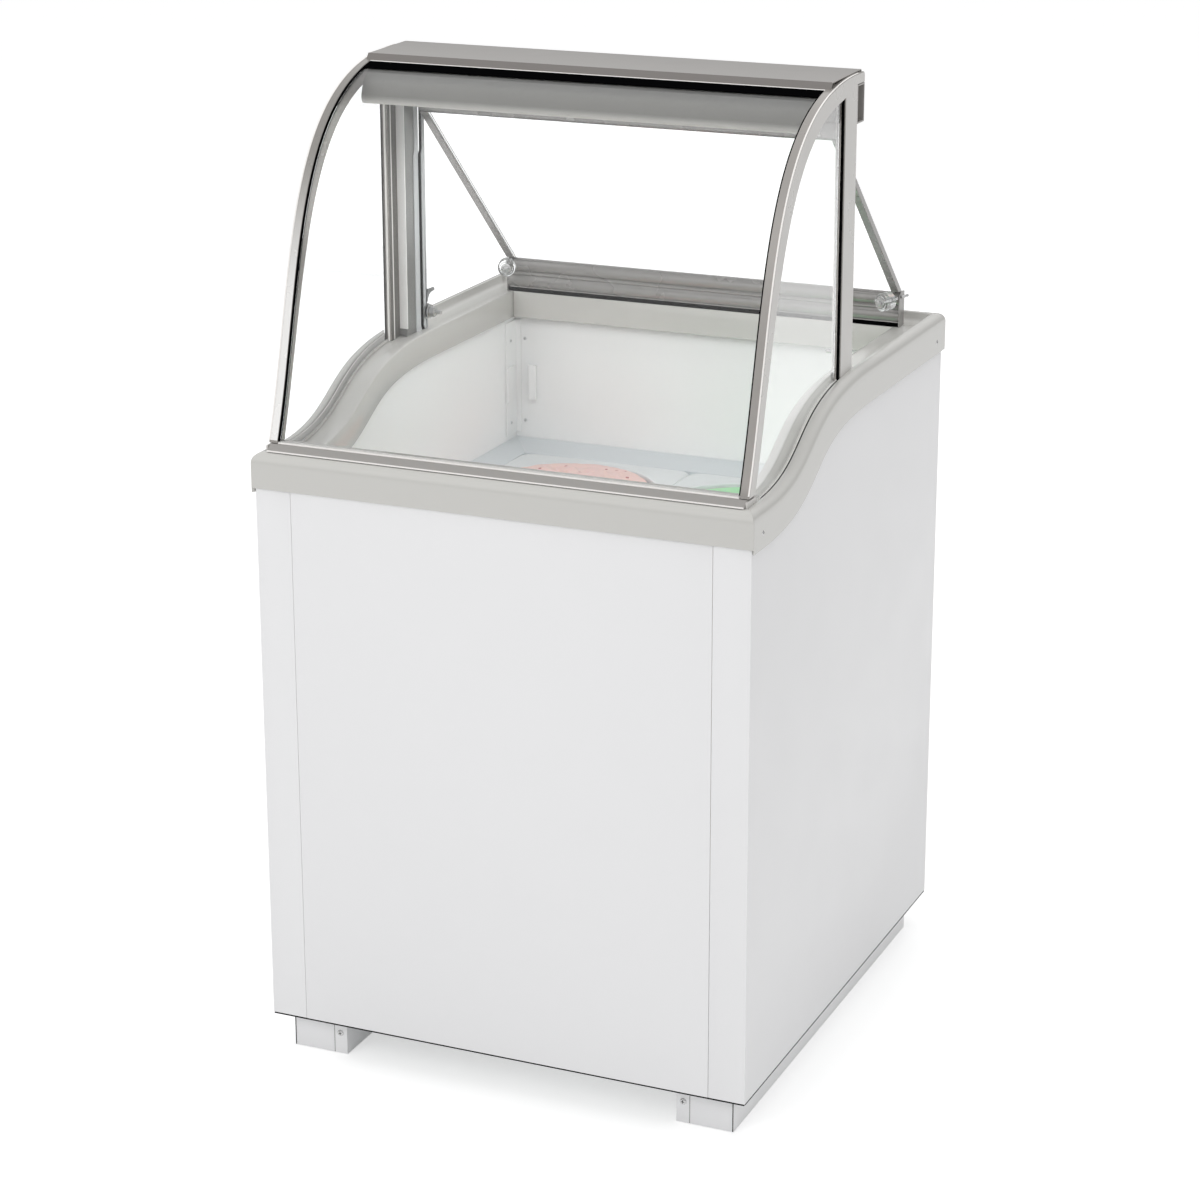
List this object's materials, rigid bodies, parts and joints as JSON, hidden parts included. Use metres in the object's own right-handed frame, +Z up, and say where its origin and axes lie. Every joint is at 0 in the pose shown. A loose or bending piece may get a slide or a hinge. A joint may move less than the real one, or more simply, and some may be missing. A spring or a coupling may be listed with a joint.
{
  "type": "chest freezer",
  "caption": "Compact display chest freezer: insulated tank for round ice-cream tubs under a curved glass guard and canopy, with a sloping clear lid hinged at the back.",
  "frame": {"origin": "middle of the footprint, on the floor", "axes": "+Z up, the customer side with the curved glass faces -Y, the lid and the service side face +Y, +X to the right seen from the front"},
  "size_m": [0.682, 0.739, 1.2934],
  "materials": {
    "white_steel": "semi-gloss white powder coat",
    "white_plastic": "smooth white",
    "tub_plastic": "satin white",
    "rim_plastic": "satin light grey",
    "guard_frame": "satin warm grey",
    "side_frame": "satin light warm grey",
    "lid_rail": "satin dark anodised",
    "zinc": "galvanised",
    "lamp_reflector": "satin",
    "copper": "copper tube",
    "black_plastic": "matt black",
    "black_steel": "black enamel",
    "gasket": "matt",
    "insulation": "rigid foam",
    "clear_glass": "clear",
    "clear_plastic": "clear moulded plastic",
    "lamp_tube": "opal white",
    "ice_pink": "frozen cream",
    "ice_green": "frozen cream",
    "ice_vanilla": "frozen cream",
    "ice_chocolate": "frozen cream"
  },
  "bodies": {
    "cabinet": {"base_runner_left": "white_steel", "base_runner_right": "white_steel", "runner_cap_left": "white_steel", "runner_cap_right": "white_steel", "side_panel_left": "white_steel", "side_panel_right": "white_steel", "front_panel": "white_steel", "rear_panel": "white_steel", "service_grille": "white_steel", "base_pan": "zinc", "condenser": "zinc", "fan_shroud": "zinc", "control_box": "zinc", "bracket_plate_left": "zinc", "bracket_plate_right": "zinc", "foam_insulation": "insulation", "tank_liner": "white_plastic", "corner_strip_left": "white_plastic", "corner_strip_right": "white_plastic", "cover_support_frame": "white_plastic", "evaporator_tube": "copper", "compressor": "black_steel", "fan_motor": "black_steel", "cord_gland": "black_plastic", "rim_front": "rim_plastic", "rim_rear": "rim_plastic", "rim_left": "rim_plastic", "rim_right": "rim_plastic", "sill_rail": "guard_frame", "canopy": "guard_frame", "rear_beam": "guard_frame", "side_frame_left": "side_frame", "side_frame_right": "side_frame", "side_glass_left": "clear_glass", "side_glass_right": "clear_glass", "front_glass": "clear_glass", "glass_gasket_left": "gasket", "glass_gasket_right": "gasket", "lamp_housing": "lamp_reflector", "lamp": "lamp_tube"},
    "lid": {"lid_frame": "lid_rail", "lid_pane": "clear_glass", "lid_handle_rail": "lid_rail", "lid_bumper_left": "clear_plastic", "lid_bumper_right": "clear_plastic"},
    "fan": {"fan_blade": "zinc"},
    "knob": {"thermostat_knob": "black_plastic"},
    "switch": {"lamp_switch": "black_plastic"},
    "cover_rear_left": {"tub_cover_rear_left": "white_plastic"},
    "tub_rear_left": {"tub_rear_left": "tub_plastic", "ice_cream_rear_left": "ice_pink"},
    "cover_rear_right": {"tub_cover_rear_right": "white_plastic"},
    "tub_rear_right": {"tub_rear_right": "tub_plastic", "ice_cream_rear_right": "ice_green"},
    "cover_front_left": {"tub_cover_front_left": "white_plastic"},
    "tub_front_left": {"tub_front_left": "tub_plastic", "ice_cream_front_left": "ice_vanilla"},
    "cover_front_right": {"tub_cover_front_right": "white_plastic"},
    "tub_front_right": {"tub_front_right": "tub_plastic", "ice_cream_front_right": "ice_chocolate"}
  },
  "joints": [
    {"name": "lid_hinge", "type": "hinge", "parent": "cabinet", "child": "lid", "pos_m": [0, 0.052, 1.224], "axis": [1, 0, 0], "range_deg": [0, 75]},
    {"name": "fan_spin", "type": "hinge", "parent": "cabinet", "child": "fan", "pos_m": [0.15, 0.262, 0.19], "axis": [0, 1, 0], "continuous": true},
    {"name": "thermostat_turn", "type": "hinge", "parent": "cabinet", "child": "knob", "pos_m": [-0.255, 0.345, 0.272], "axis": [0, 1, 0], "range_deg": [0, 270]},
    {"name": "lamp_switch_rock", "type": "hinge", "parent": "cabinet", "child": "switch", "pos_m": [-0.188, 0.336, 0.272], "axis": [1, 0, 0], "range_deg": [0, 14]},
    {"name": "cover_rear_left_lift", "type": "slide", "parent": "cabinet", "child": "cover_rear_left", "axis": [0, 0, 1], "range_m": [0, 0.2]},
    {"name": "tub_rear_left_lift", "type": "slide", "parent": "cabinet", "child": "tub_rear_left", "axis": [0, 0, 1], "range_m": [0, 0.25]},
    {"name": "cover_rear_right_lift", "type": "slide", "parent": "cabinet", "child": "cover_rear_right", "axis": [0, 0, 1], "range_m": [0, 0.2]},
    {"name": "tub_rear_right_lift", "type": "slide", "parent": "cabinet", "child": "tub_rear_right", "axis": [0, 0, 1], "range_m": [0, 0.25]},
    {"name": "cover_front_left_lift", "type": "slide", "parent": "cabinet", "child": "cover_front_left", "axis": [0, 0, 1], "range_m": [0, 0.2]},
    {"name": "tub_front_left_lift", "type": "slide", "parent": "cabinet", "child": "tub_front_left", "axis": [0, 0, 1], "range_m": [0, 0.25]},
    {"name": "cover_front_right_lift", "type": "slide", "parent": "cabinet", "child": "cover_front_right", "axis": [0, 0, 1], "range_m": [0, 0.2]},
    {"name": "tub_front_right_lift", "type": "slide", "parent": "cabinet", "child": "tub_front_right", "axis": [0, 0, 1], "range_m": [0, 0.25]}
  ]
}
